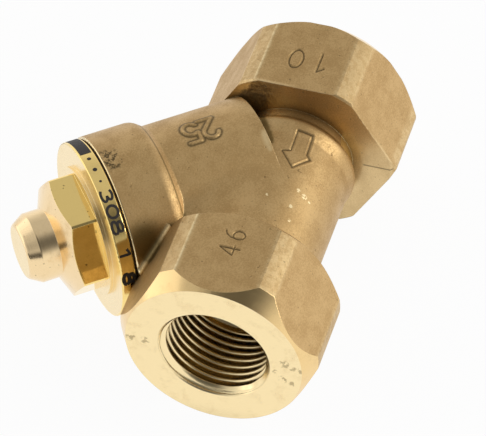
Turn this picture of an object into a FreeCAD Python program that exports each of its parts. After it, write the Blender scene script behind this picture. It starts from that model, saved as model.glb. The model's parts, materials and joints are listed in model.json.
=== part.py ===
import FreeCAD, Part
import math
import os

Vector = FreeCAD.Vector

# A sprung Y-pattern non-return valve, in millimetres. The pipe axis is X, with the flow along +X, and the
# origin is the centre of the inlet end face. The branch leaves the pipe axis in the XY plane, leaning
# towards the outlet and -Y, and both hexagons have flats facing +Z and -Z.

# Forged body, along the pipe
end_to_end = 56.0
inlet_reach = 17.0
branch_angle = 50.5
pipe_diameter = 19.2
inlet_hex_length = 13.8
outlet_hex_length = 15.6
hex_across_flats = 27.0
hex_across_corners = 29.8
inlet_parting_corners = 30.8
inlet_face_diameter = 27.2
outlet_face_diameter = 26.5
inlet_chamfer_angle = 40.0
outlet_chamfer_angle = 30.0
inlet_back_diameter = 29.2
outlet_back_diameter = 26.8
shoulder_rounding = 1.0

# Neck and rounded lip beside the inlet hexagon
neck_diameter = 17.6
neck_length = 1.8
lip_diameter = 20.0
lip_rise = 1.0
lip_width = 0.8
lip_fall = 1.8

# Barrel and collar, measured along the branch from the point where the axes cross
barrel_diameter = 24.6
barrel_root = 4.8
barrel_blend = 8.0
collar_foot = 20.2
collar_foot_rounding = 0.25
collar_slope_length = 1.5
collar_shoulder_rounding = 2.4
collar_face = 29.55
collar_corner_start = 23.5
collar_corner_rounding = 0.85
facing_clearance = 0.5

# Ports: G 3/8 threads, whose ridges are left out of these solids
port_thread_diameter = 16.662
port_mouth_diameter = 17.0
inlet_thread_length = 11.4
outlet_thread_length = 13.0

# Water way and seat
inlet_bore_diameter = 13.0
inlet_bore_overrun = 1.0
outlet_bore_diameter = 14.0
outlet_bore_start = 11.0
seat_bore_diameter = 11.0
seat_bore_depth = 12.0
seat_diameter = 14.6
seat_height = 0.8
seat_position = 8.0
chamber_diameter = 19.2

# Cap and its gasket
cap_thread_diameter = 22.0
cap_thread_clearance = 0.05
cap_thread_length = 7.0
cap_plug_length = 6.4
gasket_thickness = 0.25
gasket_width = 1.9
flange_inset = 0.1
flange_thickness = 2.35
flange_edge = 0.25
washer_face_diameter = 19.7
washer_face_height = 0.6
cap_hex_across_flats = 16.4
cap_hex_across_corners = 18.7
cap_hex_height = 5.65
cap_hex_cone_angle = 24.0
cap_hex_turn = -5.0
nose_diameter = 10.6
nose_length = 4.7
nose_chamfer_length = 2.0
nose_end_diameter = 8.2
nose_rounding = 0.6
spring_recess_diameter = 11.6
spring_recess_depth = 5.5

# Disc, seal and what holds them
lift = 5.5
lift_end_gap = 0.3
stem_diameter = 5.0
stem_running_clearance = 0.05
stem_engagement = 7.5
stem_tip_chamfer = 0.5
disc_diameter = 17.2
disc_plate_thickness = 1.6
disc_rim_thickness = 1.1
hub_diameter = 6.8
hub_height = 1.0
seal_thickness = 2.0
seal_proud = 0.6
seal_clearance = 0.05
spigot_diameter = 4.8
retainer_diameter = 8.8
retainer_thickness = 0.8
screw_diameter = 3.0
screw_length = 6.8
screw_hole_clearance = 0.05
screw_hole_spare = 0.5
screw_head_diameter = 5.5
screw_head_height = 1.8
screw_socket_across_flats = 2.5
screw_socket_depth = 1.1

# Closing spring
spring_wire_diameter = 0.7
spring_mean_diameter = 8.6
spring_turns = 5.5
spring_end_turn = 270.0

# Places that follow from the sizes above
crossing = Vector(inlet_reach, 0, 0)
outlet_reach = end_to_end - inlet_reach
inlet_hex_middle = inlet_hex_length / 2
outlet_hex_middle = end_to_end - outlet_hex_length / 2
outlet_hex_back = end_to_end - outlet_hex_length
collar_diameter = hex_across_flats
flange_radius = collar_diameter / 2 - flange_inset
flange_back = collar_face + gasket_thickness
flange_front = flange_back + flange_thickness
washer_face = flange_front + washer_face_height
nose_base = washer_face + cap_hex_height
nose_end = nose_base + nose_length
plug_end = collar_face - cap_plug_length
recess_roof = plug_end + spring_recess_depth
disc_underside = seat_position + seal_thickness
disc_top = disc_underside + disc_plate_thickness
stem_end = recess_roof + stem_engagement
guide_end = stem_end + lift + lift_end_gap
retainer_underside = seat_position - retainer_thickness


def lathe(corners):
    """A solid turned about X from a closed outline of (along, radius) or (along, radius, rounding) corners."""
    points = [Vector(corner[0], 0, corner[1]) for corner in corners]
    roundings = [corner[2] if len(corner) > 2 else 0.0 for corner in corners]
    count = len(points)
    entries = []
    exits = []
    middles = []
    for i, point in enumerate(points):
        if roundings[i] == 0.0:
            entries.append(point)
            exits.append(point)
            middles.append(None)
            continue
        back = points[i - 1] - point
        ahead = points[(i + 1) % count] - point
        half = back.getAngle(ahead) / 2
        longest = 0.45 * min(back.Length, ahead.Length)
        setback = min(roundings[i] / math.tan(half), longest)
        radius = setback * math.tan(half)
        back.normalize()
        ahead.normalize()
        bisector = back + ahead
        bisector.normalize()
        entries.append(point + back * setback)
        exits.append(point + ahead * setback)
        middles.append(point + bisector * (radius / math.sin(half) - radius))
    edges = []
    for i in range(count):
        if middles[i] is not None:
            edges.append(Part.Arc(entries[i], middles[i], exits[i]).toShape())
        start = exits[i]
        end = entries[(i + 1) % count]
        if start.distanceToPoint(end) > 1e-6:
            edges.append(Part.LineSegment(start, end).toShape())
    face = Part.Face(Part.Wire(edges))
    return face.revolve(Vector(0, 0, 0), Vector(1, 0, 0), 360)


def hexagon(across_flats, start, end, turn=0.0):
    """A hexagonal bar along X with corners on +Y and -Y before it is turned about X."""
    corner_radius = across_flats / math.sqrt(3)
    corners = []
    for i in range(7):
        angle = math.radians(60 * i + turn)
        corners.append(Vector(start, corner_radius * math.cos(angle), corner_radius * math.sin(angle)))
    return Part.Face(Part.makePolygon(corners)).extrude(Vector(end - start, 0, 0))


def on_branch(shape):
    """Moves a shape made along X from the origin onto the branch axis."""
    shape.rotate(Vector(0, 0, 0), Vector(0, 0, 1), -branch_angle)
    shape.translate(crossing)
    return shape


def facing_back(shape):
    """Turns a shape made from the inlet end face round, onto the outlet end face."""
    shape.rotate(Vector(0, 0, 0), Vector(0, 0, 1), 180)
    shape.translate(Vector(end_to_end, 0, 0))
    return shape


def end_hexagon(length, face_diameter, chamfer_angle, across_corners, back_diameter):
    """A spanner hexagon from its end face at X = 0, with the turned chamfer and the rounded corners."""
    face = face_diameter / 2
    corner = across_corners / 2
    back = back_diameter / 2
    chamfer = (corner - face) / math.tan(math.radians(chamfer_angle))
    envelope = lathe([
        (0, 0),
        (0, face),
        (chamfer, corner),
        (length - (corner - back), corner),
        (length, back),
        (length, 0),
    ])
    return hexagon(hex_across_flats, 0, length).common(envelope)


def inlet_hexagon():
    """The inlet's hexagon, whose two corners on the forging's parting plane are sharper than the other four."""
    span = 2 * end_to_end
    sharp = end_hexagon(inlet_hex_length, inlet_face_diameter, inlet_chamfer_angle, inlet_parting_corners,
                        inlet_back_diameter)
    rounder = Part.makeCylinder(hex_across_corners / 2, span, Vector(-span / 2, 0, 0), Vector(1, 0, 0))
    parting_zone = Part.makeBox(span, span, hex_across_flats / 2,
                                Vector(-span / 2, -span / 2, -hex_across_flats / 4))
    return sharp.common(rounder.fuse(parting_zone))


def outlet_hexagon():
    """The outlet's hexagon, in its place."""
    return facing_back(end_hexagon(outlet_hex_length, outlet_face_diameter, outlet_chamfer_angle,
                                   hex_across_corners, outlet_back_diameter))


def waist():
    """The pipe between the hexagons, with the neck and the rounded lip beside the inlet hexagon."""
    pipe = pipe_diameter / 2
    neck = neck_diameter / 2
    lip = lip_diameter / 2
    neck_end = inlet_hex_length + neck_length
    lip_start = neck_end + lip_rise
    lip_end = lip_start + lip_width
    return lathe([
        (inlet_hex_middle, 0),
        (inlet_hex_middle, neck),
        (neck_end, neck, shoulder_rounding),
        (lip_start, lip, shoulder_rounding),
        (lip_end, lip, 2 * shoulder_rounding),
        (lip_end + lip_fall, pipe, 2 * shoulder_rounding),
        (outlet_hex_middle, pipe),
        (outlet_hex_middle, 0),
    ])


def blended_barrel():
    """The barrel with its rounded crease against the pipe, from the barrel's root to just below the collar face.

    Both cylinders are made long, so that the crease is a closed loop that takes its rounding in one piece.
    """
    span = 2 * end_to_end
    pipe = Part.makeCylinder(pipe_diameter / 2, span, crossing - Vector(span / 2, 0, 0), Vector(1, 0, 0))
    pipe.rotate(Vector(0, 0, 0), Vector(1, 0, 0), 90)
    barrel = Part.makeCylinder(barrel_diameter / 2, span, Vector(-span / 2, 0, 0), Vector(1, 0, 0))
    barrel.rotate(Vector(0, 0, 0), Vector(1, 0, 0), 180)
    crossed = pipe.fuse(on_branch(barrel))
    crease = [
        edge for edge in crossed.Edges
        if edge.Curve.TypeId == "Part::GeomBSplineCurve" and edge.CenterOfMass.x > crossing.x
    ]
    rounded = crossed.makeFillet(barrel_blend, crease)
    length = collar_face - facing_clearance - barrel_root
    slab = on_branch(Part.makeBox(length, span, span, Vector(barrel_root, -span / 2, -span / 2)))
    waist_zone = Part.makeBox(outlet_hex_back - inlet_hex_middle, span, span,
                              Vector(inlet_hex_middle, -span / 2, -span / 2))
    return rounded.common(slab).common(waist_zone)


def collar():
    """The thick collar at the barrel's end, with its sloping foot."""
    barrel = barrel_diameter / 2
    outer = collar_diameter / 2
    full = collar_foot + collar_slope_length
    return on_branch(lathe([
        (collar_foot - collar_slope_length, 0),
        (collar_foot - collar_slope_length, barrel),
        (collar_foot, barrel, collar_foot_rounding),
        (full, outer, collar_shoulder_rounding),
        (collar_face, outer, flange_edge),
        (collar_face, 0),
    ]))


def collar_and_hexagon_corner():
    """The rounded corner where the collar runs into the outlet hexagon's two flats on the branch's side.

    The collar and a block under one flat are made long, so that their crossing is a closed loop that takes its
    rounding in one piece. The zone where the two really meet is kept, with its mirror image.
    """
    span = 2 * end_to_end
    radius = collar_diameter / 2
    flat = hex_across_flats / 2
    crossed = on_branch(Part.makeCylinder(radius, span, Vector(-span / 2, 0, 0), Vector(1, 0, 0)))
    block = Part.makeBox(2 * span, 2 * span, span, Vector(-span, -span, flat - span))
    block.rotate(Vector(0, 0, 0), Vector(1, 0, 0), 60)
    crossed = crossed.fuse(block)
    crease = [edge for edge in crossed.Edges if edge.Curve.TypeId == "Part::GeomEllipse"]
    rounded = crossed.makeFillet(collar_corner_rounding, crease)
    slab = on_branch(Part.makeBox(collar_face - collar_corner_start, span, radius,
                                  Vector(collar_corner_start, -span / 2, 0)))
    hexagon_zone = Part.makeCylinder(hex_across_corners / 2, outlet_hex_middle - outlet_hex_back,
                                     Vector(outlet_hex_back, 0, 0), Vector(1, 0, 0))
    upper = rounded.common(slab).common(hexagon_zone)
    return upper.fuse(upper.mirror(Vector(0, 0, 0), Vector(0, 0, 1)))


def port_cutter(thread_length, bore_diameter, bore_end):
    """What is bored from an end face at X = 0: mouth bevel, thread bore, cone and water way."""
    thread = port_thread_diameter / 2
    mouth = port_mouth_diameter / 2
    bore = bore_diameter / 2
    return lathe([
        (-1, 0),
        (-1, mouth + 1),
        (mouth - thread, thread),
        (thread_length, thread),
        (thread_length + thread - bore, bore),
        (bore_end, bore),
        (bore_end, 0),
    ])


def branch_cutter():
    """What is bored from the collar: thread bore, valve chamber, raised seat and seat bore."""
    seat_bore = seat_bore_diameter / 2
    chamber = chamber_diameter / 2
    thread = cap_thread_diameter / 2
    floor = seat_position - seat_height
    thread_end = collar_face - cap_thread_length
    return on_branch(lathe([
        (seat_position - seat_bore_depth, 0),
        (seat_position - seat_bore_depth, seat_bore),
        (seat_position, seat_bore),
        (seat_position, seat_diameter / 2),
        (floor, seat_diameter / 2),
        (floor, chamber),
        (thread_end - (thread - chamber), chamber),
        (thread_end, thread),
        (collar_face + 1, thread),
        (collar_face + 1, 0),
    ]))


def facing_cutter():
    """The room that the cap's flange turns in, faced off the collar and the hexagon's corner."""
    radius = flange_radius + facing_clearance
    return on_branch(lathe([
        (collar_face, 0),
        (collar_face, radius),
        (nose_end, radius),
        (nose_end, 0),
    ]))


def body():
    """The forging with its machined ports, seat and cap thread bore."""
    forging = waist().fuse([
        inlet_hexagon(),
        outlet_hexagon(),
        blended_barrel(),
        collar(),
        collar_and_hexagon_corner(),
    ])
    inlet = port_cutter(inlet_thread_length, inlet_bore_diameter, inlet_reach + inlet_bore_overrun)
    outlet = port_cutter(outlet_thread_length, outlet_bore_diameter, outlet_reach - outlet_bore_start)
    return forging.cut([facing_cutter(), inlet, facing_back(outlet), branch_cutter()])


def cap():
    """The screwed cap: plug, flange, washer face, hexagon with its coned top, and the nose over the guide bore."""
    plug = cap_thread_diameter / 2 - cap_thread_clearance
    guide = stem_diameter / 2 + stem_running_clearance
    nose = nose_diameter / 2
    corner = cap_hex_across_corners / 2
    turned = lathe([
        (plug_end, 0),
        (plug_end, plug, shoulder_rounding / 2),
        (flange_back, plug),
        (flange_back, flange_radius, flange_edge),
        (flange_front, flange_radius, flange_edge),
        (flange_front, washer_face_diameter / 2),
        (washer_face, washer_face_diameter / 2),
        (washer_face, nose),
        (nose_base + nose_length - nose_chamfer_length, nose, nose_rounding / 2),
        (nose_end, nose_end_diameter / 2, nose_rounding),
        (nose_end, 0),
    ])
    cone_drop = (corner - nose) * math.tan(math.radians(cap_hex_cone_angle))
    envelope = lathe([
        (flange_front, 0),
        (flange_front, corner),
        (nose_base - cone_drop, corner),
        (nose_base, nose),
        (nose_base, 0),
    ])
    spanner_hex = hexagon(cap_hex_across_flats, flange_front, nose_base, cap_hex_turn).common(envelope)
    hollow = lathe([
        (plug_end - 1, 0),
        (plug_end - 1, spring_recess_diameter / 2),
        (recess_roof, spring_recess_diameter / 2),
        (recess_roof, guide),
        (guide_end, guide),
        (guide_end, 0),
    ])
    return on_branch(turned.fuse(spanner_hex).cut(hollow))


def cap_gasket():
    """The flat ring between the collar face and the flange."""
    inner = cap_thread_diameter / 2 + cap_thread_clearance
    outer = inner + gasket_width
    return on_branch(lathe([
        (collar_face, inner),
        (collar_face, outer),
        (flange_back, outer),
        (flange_back, inner),
    ]))


def valve_disc():
    """The disc with the cup for its seal, the hub that centres the spring, and the guide stem."""
    rim = disc_diameter / 2
    cup = rim - disc_rim_thickness
    stem = stem_diameter / 2
    hole = screw_diameter / 2 + screw_hole_clearance
    hole_end = retainer_underside + screw_length + screw_hole_spare
    return on_branch(lathe([
        (seat_position, hole),
        (seat_position, spigot_diameter / 2),
        (disc_underside, spigot_diameter / 2),
        (disc_underside, cup),
        (seat_position + seal_proud, cup),
        (seat_position + seal_proud, rim),
        (disc_top, rim, disc_plate_thickness / 4),
        (disc_top, hub_diameter / 2),
        (disc_top + hub_height, hub_diameter / 2),
        (disc_top + hub_height, stem),
        (stem_end - stem_tip_chamfer, stem),
        (stem_end, stem - stem_tip_chamfer),
        (stem_end, 0),
        (hole_end, 0),
        (hole_end, hole),
    ]))


def seat_seal():
    """The flat rubber ring that closes on the seat."""
    inner = spigot_diameter / 2 + seal_clearance
    outer = disc_diameter / 2 - disc_rim_thickness - seal_clearance
    return on_branch(lathe([
        (seat_position, inner),
        (seat_position, outer),
        (disc_underside, outer),
        (disc_underside, inner),
    ]))


def seal_retainer():
    """The washer that holds the seal in its cup."""
    inner = screw_diameter / 2 + screw_hole_clearance
    return on_branch(lathe([
        (retainer_underside, inner),
        (retainer_underside, retainer_diameter / 2),
        (seat_position, retainer_diameter / 2),
        (seat_position, inner),
    ]))


def retaining_screw():
    """The socket screw that clamps the washer to the disc."""
    head_end = retainer_underside - screw_head_height
    blank = lathe([
        (head_end, 0),
        (head_end, screw_head_diameter / 2, screw_head_height / 6),
        (retainer_underside, screw_head_diameter / 2),
        (retainer_underside, screw_diameter / 2),
        (retainer_underside + screw_length, screw_diameter / 2),
        (retainer_underside + screw_length, 0),
    ])
    socket = hexagon(screw_socket_across_flats, head_end - 1, head_end + screw_socket_depth)
    return on_branch(blank.cut(socket))


def closing_spring():
    """The compression spring between the disc and the cap's recess.

    Each half turn is a flat arc tilted to climb by its rise, which meets the next one tangent to the coil, and
    a level part turn closes each end.
    """
    wire = spring_wire_diameter / 2
    mean = spring_mean_diameter / 2
    first = disc_top + wire
    last = recess_roof - wire
    half_turns = round(2 * spring_turns)
    rise = (last - first) / half_turns
    bend = math.hypot(mean, rise / 2)
    tilt = math.degrees(math.atan2(rise / 2, mean))
    origin = Vector(0, 0, 0)
    axis = Vector(0, 0, 1)
    arcs = []
    for i in range(half_turns):
        arc = Part.makeTorus(bend, wire, origin, axis, 0, 360, 180)
        arc.rotate(origin, Vector(0, 1, 0), tilt)
        arc.rotate(origin, axis, 180 * i)
        arc.translate(Vector(0, 0, first + rise * (i + 0.5)))
        arcs.append(arc)
    for start, height in ((-spring_end_turn, first), (180 * half_turns, last)):
        level = Part.makeTorus(mean, wire, origin, axis, 0, 360, spring_end_turn)
        level.rotate(origin, axis, start)
        level.translate(Vector(0, 0, height))
        arcs.append(level)
    spring = arcs[0].fuse(arcs[1:])
    spring.rotate(origin, Vector(0, 1, 0), 90)
    return on_branch(spring)


nodes = {
    "body": body,
    "cap": cap,
    "cap_gasket": cap_gasket,
    "valve_disc": valve_disc,
    "seat_seal": seat_seal,
    "seal_retainer": seal_retainer,
    "retaining_screw": retaining_screw,
    "closing_spring": closing_spring,
}

os.makedirs("parts", exist_ok=True)
for name, make in nodes.items():
    shape = make()
    print(name, shape.isValid(), len(shape.Solids), round(shape.Volume, 2))
    shape.exportStep("parts/" + name + ".step")
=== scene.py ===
"""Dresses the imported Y-pattern non-return valve: brass finishes, threads, marks, print, spring and stage."""

import json
import math

import bmesh
import bpy
import numpy as np
from bpy.props import FloatProperty, FloatVectorProperty, IntProperty, PointerProperty
from bpy.types import Operator, Panel, PropertyGroup
from mathutils import Matrix, Vector


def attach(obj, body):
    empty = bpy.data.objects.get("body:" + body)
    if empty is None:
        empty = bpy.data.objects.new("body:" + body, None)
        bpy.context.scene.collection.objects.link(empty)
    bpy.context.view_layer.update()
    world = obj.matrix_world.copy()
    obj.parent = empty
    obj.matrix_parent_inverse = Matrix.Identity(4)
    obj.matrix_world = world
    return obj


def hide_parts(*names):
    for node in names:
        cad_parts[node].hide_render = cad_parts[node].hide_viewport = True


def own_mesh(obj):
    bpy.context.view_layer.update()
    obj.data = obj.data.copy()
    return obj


bl_info = {
    "name": "Y-pattern non-return valve",
    "version": (1, 0, 0),
    "blender": (4, 5, 0),
    "location": "View3D > Sidebar > Valve",
    "description": "Brass finishes, threads, marks, spring and stage for a Y-pattern non-return valve",
    "category": "Object",
}

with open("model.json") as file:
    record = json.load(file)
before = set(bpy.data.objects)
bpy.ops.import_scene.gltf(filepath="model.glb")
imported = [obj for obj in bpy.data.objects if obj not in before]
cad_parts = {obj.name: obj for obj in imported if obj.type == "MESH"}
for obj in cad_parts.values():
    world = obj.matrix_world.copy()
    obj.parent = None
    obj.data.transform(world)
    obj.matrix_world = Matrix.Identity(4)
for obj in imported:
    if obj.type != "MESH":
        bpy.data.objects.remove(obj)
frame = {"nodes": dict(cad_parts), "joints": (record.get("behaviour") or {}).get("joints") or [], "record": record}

MM = 0.001

# What the frame states: the mounts, the disc's joint, in millimetres the length and the flats' distance from
# the pipe's axis, and the angle between the branch and the pipe
MOUNTS = {mount["name"]: mount for mount in frame["record"]["mounts"]}
LIFT = frame["joints"][0]
LENGTH = MOUNTS["outlet_port"]["pos_m"][0] / MM
HEX_FLAT = -MOUNTS["lower_flat"]["pos_m"][2] / MM
BRANCH_ANGLE = math.radians(round(math.degrees(math.atan2(-LIFT["axis"][1], LIFT["axis"][0])), 1))

# Where the branch crosses the pipe, and the directions along the branch, across it and up
CROSSING = np.array([17.0, 0.0, 0.0])
ALONG = np.array([math.cos(BRANCH_ANGLE), -math.sin(BRANCH_ANGLE), 0.0])
ACROSS = np.array([math.sin(BRANCH_ANGLE), math.cos(BRANCH_ANGLE), 0.0])
UP = np.array([0.0, 0.0, 1.0])

# The solids' sizes along and round the pipe, in millimetres
INLET_HEX_END = 13.8
OUTLET_HEX_START = LENGTH - 15.6
HEX_CORNER = 14.9
TOP_FLAT_EDGE = -6.3
PIPE_RADIUS = 9.6

# The solids' sizes along and round the branch, with places measured from the crossing
BARREL_RADIUS = 12.3
COLLAR_FOOT = 21.2
COLLAR_FOOT_RADIUS = 12.95
COLLAR_RADIUS = HEX_FLAT
COLLAR_FACE = 29.55
FLANGE_RADIUS = COLLAR_RADIUS - 0.1
FLANGE_BACK = COLLAR_FACE + 0.25
FLANGE_FRONT = FLANGE_BACK + 2.35
WASHER_FACE = FLANGE_FRONT + 0.6
NOSE_BASE = WASHER_FACE + 5.65
RECESS_ROOF = COLLAR_FACE - 6.4 + 5.5
DISC_TOP = 11.6

# Wear, dirt, painted shade and painted highlights, as spots of (place, reach) in millimetres
COLLAR_SMUDGE = ((CROSSING + 28.4 * ALONG + COLLAR_RADIUS * UP, 3.2),)
# Painted shadow: a dark crescent along the lip where the barrel ends
LIP_SHADOW = (
    ((17.0, -4.2, 9.1), 1.1), ((17.9, -3.6, 9.2), 1.1), ((18.8, -3.0, 9.3), 1.1),
    ((19.8, -2.4, 9.4), 1.1), ((20.8, -2.0, 9.4), 1.2), ((21.7, -1.6, 9.5), 1.2),
)
# Painted shade on the collar above the outlet hexagon's slanted flats
COLLAR_SHADE = (((43.2, -14.2, 7.0), 5.0), ((44.2, -12.9, 5.6), 2.5))
# Painted highlight: a bright glint on the barrel's edge beside the lip
LIP_GLINT = (
    ((22.4, -2.2, 12.0), 1.0), ((23.1, -1.8, 11.7), 1.0),
    ((23.8, -1.3, 11.4), 1.0), ((24.5, -0.7, 11.1), 0.8),
)
PIPE_NICKS = tuple(
    ((along, sideways, math.sqrt(PIPE_RADIUS**2 - sideways**2)), reach)
    for along, sideways, reach in (
        (28.9, 4.9, 0.5), (29.3, 5.9, 0.7), (29.6, 6.7, 0.35),
        (32.0, 1.1, 0.4), (32.3, 4.7, 0.5), (34.8, 5.2, 0.4),
    )
)
END_SMUDGES = tuple(
    ((LENGTH, sideways, upward), reach)
    for sideways, upward, reach in (
        (10.6, 1.4, 1.3), (11.8, 0.9, 0.9), (9.3, -0.6, 0.7), (10.4, -1.9, 1.1),
        (11.8, -2.5, 0.8), (13.2, 0.7, 1.0), (-12.4, 0.2, 1.2), (-10.3, 0.2, 1.1),
    )
)

# The middle and reach of the lumpy, paler metal on the back of the inlet's hexagon
FLASH = (INLET_HEX_END, -4.5, 10.8)
FLASH_REACH = 7.0


# shader maths


class Sock:
    """A node output that takes part in Python sums; each operator adds one Math node."""

    def __init__(self, graph, socket):
        self.graph = graph
        self.socket = socket

    def __add__(self, other):
        return self.graph.math("ADD", self, other)

    def __sub__(self, other):
        return self.graph.math("SUBTRACT", self, other)

    def __rsub__(self, other):
        return self.graph.math("SUBTRACT", other, self)

    def __mul__(self, other):
        return self.graph.math("MULTIPLY", self, other)

    __radd__ = __add__
    __rmul__ = __mul__

    def beside(self, output):
        """Another output of the same node."""
        return Sock(self.graph, self.socket.node.outputs[output])


class Graph:
    """Adds nodes to a tree; their sockets take plain values or Socks."""

    def __init__(self, tree):
        self.tree = tree
        tree.nodes.clear()

    def node(self, kind, settings=None, inputs=None, output=0):
        """Adds a node: its settings first, then the values or links of its sockets."""
        made = self.tree.nodes.new(kind)
        for key, value in (settings or {}).items():
            setattr(made, key, value)
        for key, value in (inputs or {}).items():
            self.join(made.inputs[key], value)
        return Sock(self, made.outputs[output]) if made.outputs else None

    def join(self, socket, value):
        """Links a Sock to a socket, or sets the socket's value."""
        if isinstance(value, Sock):
            self.tree.links.new(value.socket, socket)
        else:
            socket.default_value = value

    def math(self, operation, *values):
        return self.node("ShaderNodeMath", {"operation": operation}, dict(enumerate(values)))

    def vector(self, operation, *values, output=0):
        return self.node("ShaderNodeVectorMath", {"operation": operation}, dict(enumerate(values)), output)

    def facing(self, first, second):
        """The dot product of two vectors: for unit vectors, the cosine of the angle between them."""
        return self.vector("DOT_PRODUCT", first, second, output=1)

    def length(self, first, second):
        """The long side of a right-angled triangle with those two short sides."""
        return self.math("SQRT", first * first + second * second)

    def most(self, largest, *others):
        """The largest of the values."""
        for other in others:
            largest = self.math("MAXIMUM", largest, other)
        return largest

    def mix(self, factor, first, second):
        """Colour between first and second."""
        inputs = {0: factor, 6: first, 7: second}
        return self.node("ShaderNodeMix", {"data_type": "RGBA", "blend_type": "MIX"}, inputs, output=2)

    def step(self, value, low, high):
        """0 below low, 1 above high, and a smooth ramp between them."""
        inputs = {"Value": value, "From Min": low, "From Max": high}
        return self.node("ShaderNodeMapRange", {"interpolation_type": "SMOOTHSTEP"}, inputs)

    def place(self):
        """Object coordinates in millimetres."""
        coordinates = self.node("ShaderNodeTexCoord", output="Object")
        return self.node("ShaderNodeVectorMath", {"operation": "SCALE"}, {0: coordinates, "Scale": 1 / MM})

    def noise(self, place, scale, detail=2.0, roughness=0.5):
        inputs = {"Vector": place, "Scale": scale, "Detail": detail, "Roughness": roughness}
        return self.node("ShaderNodeTexNoise", None, inputs)

    def from_crossing(self, place, axis):
        """How far the place lies from the branch's crossing with the pipe, measured along that axis."""
        return self.facing(place, tuple(axis)) - float(CROSSING @ axis)

    def near(self, place, point, reach):
        """1 at a point, falling to 0 at that reach from it."""
        return 1.0 - self.step(self.vector("DISTANCE", place, tuple(point), output=1), 0.0, reach)

    def blotted(self, place, spots):
        """The sum of what lies near the spots, which are given as (place, reach)."""
        found = 0.0
        for point, reach in spots:
            found = self.near(place, point, reach) + found
        return found

    def smudged(self, place, spots):
        """1 in the uneven blots of smudges at those spots, and 0 elsewhere."""
        blot = self.step(self.noise(place, scale=1.3, detail=4.0, roughness=0.7), 0.4, 0.62)
        return self.step(self.blotted(place, spots) * blot, 0.08, 0.45)

    def openness(self, reach, low, high):
        """0 where little of the space within that reach is open, 1 where most is."""
        sky = self.node("ShaderNodeAmbientOcclusion", {"samples": 8}, {"Distance": reach * MM}, output="AO")
        return self.step(sky, low, high)

    def normal(self):
        """The surface's own normal."""
        return self.node("ShaderNodeNewGeometry", output="Normal")

    def softened(self, radius):
        """The normal, rounded over sharp edges by that radius in millimetres."""
        return self.node("ShaderNodeBevel", {"samples": 6}, {"Radius": radius * MM})

    def bump(self, height, distance, normal):
        inputs = {"Height": height, "Distance": distance * MM, "Normal": normal}
        return self.node("ShaderNodeBump", None, inputs)


class Finish(Graph):
    """The nodes of one new material, with its Principled shader already linked to the output."""

    def __init__(self, name, **constants):
        self.material = bpy.data.materials.new(name)
        self.material.use_nodes = True
        super().__init__(self.material.node_tree)
        self.shader = self.node("ShaderNodeBsdfPrincipled")
        self.output = self.tree.nodes.new("ShaderNodeOutputMaterial")
        self.join(self.output.inputs["Surface"], self.shader)
        self.feed(**constants)

    def feed(self, **links):
        """Sets or links the shader's inputs, whose names have _ for a space."""
        for socket, value in links.items():
            self.join(self.shader.socket.node.inputs[socket.replace("_", " ")], value)
        return self.material


def rgba(colour):
    return (*colour, 1.0)


# materials


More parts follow.
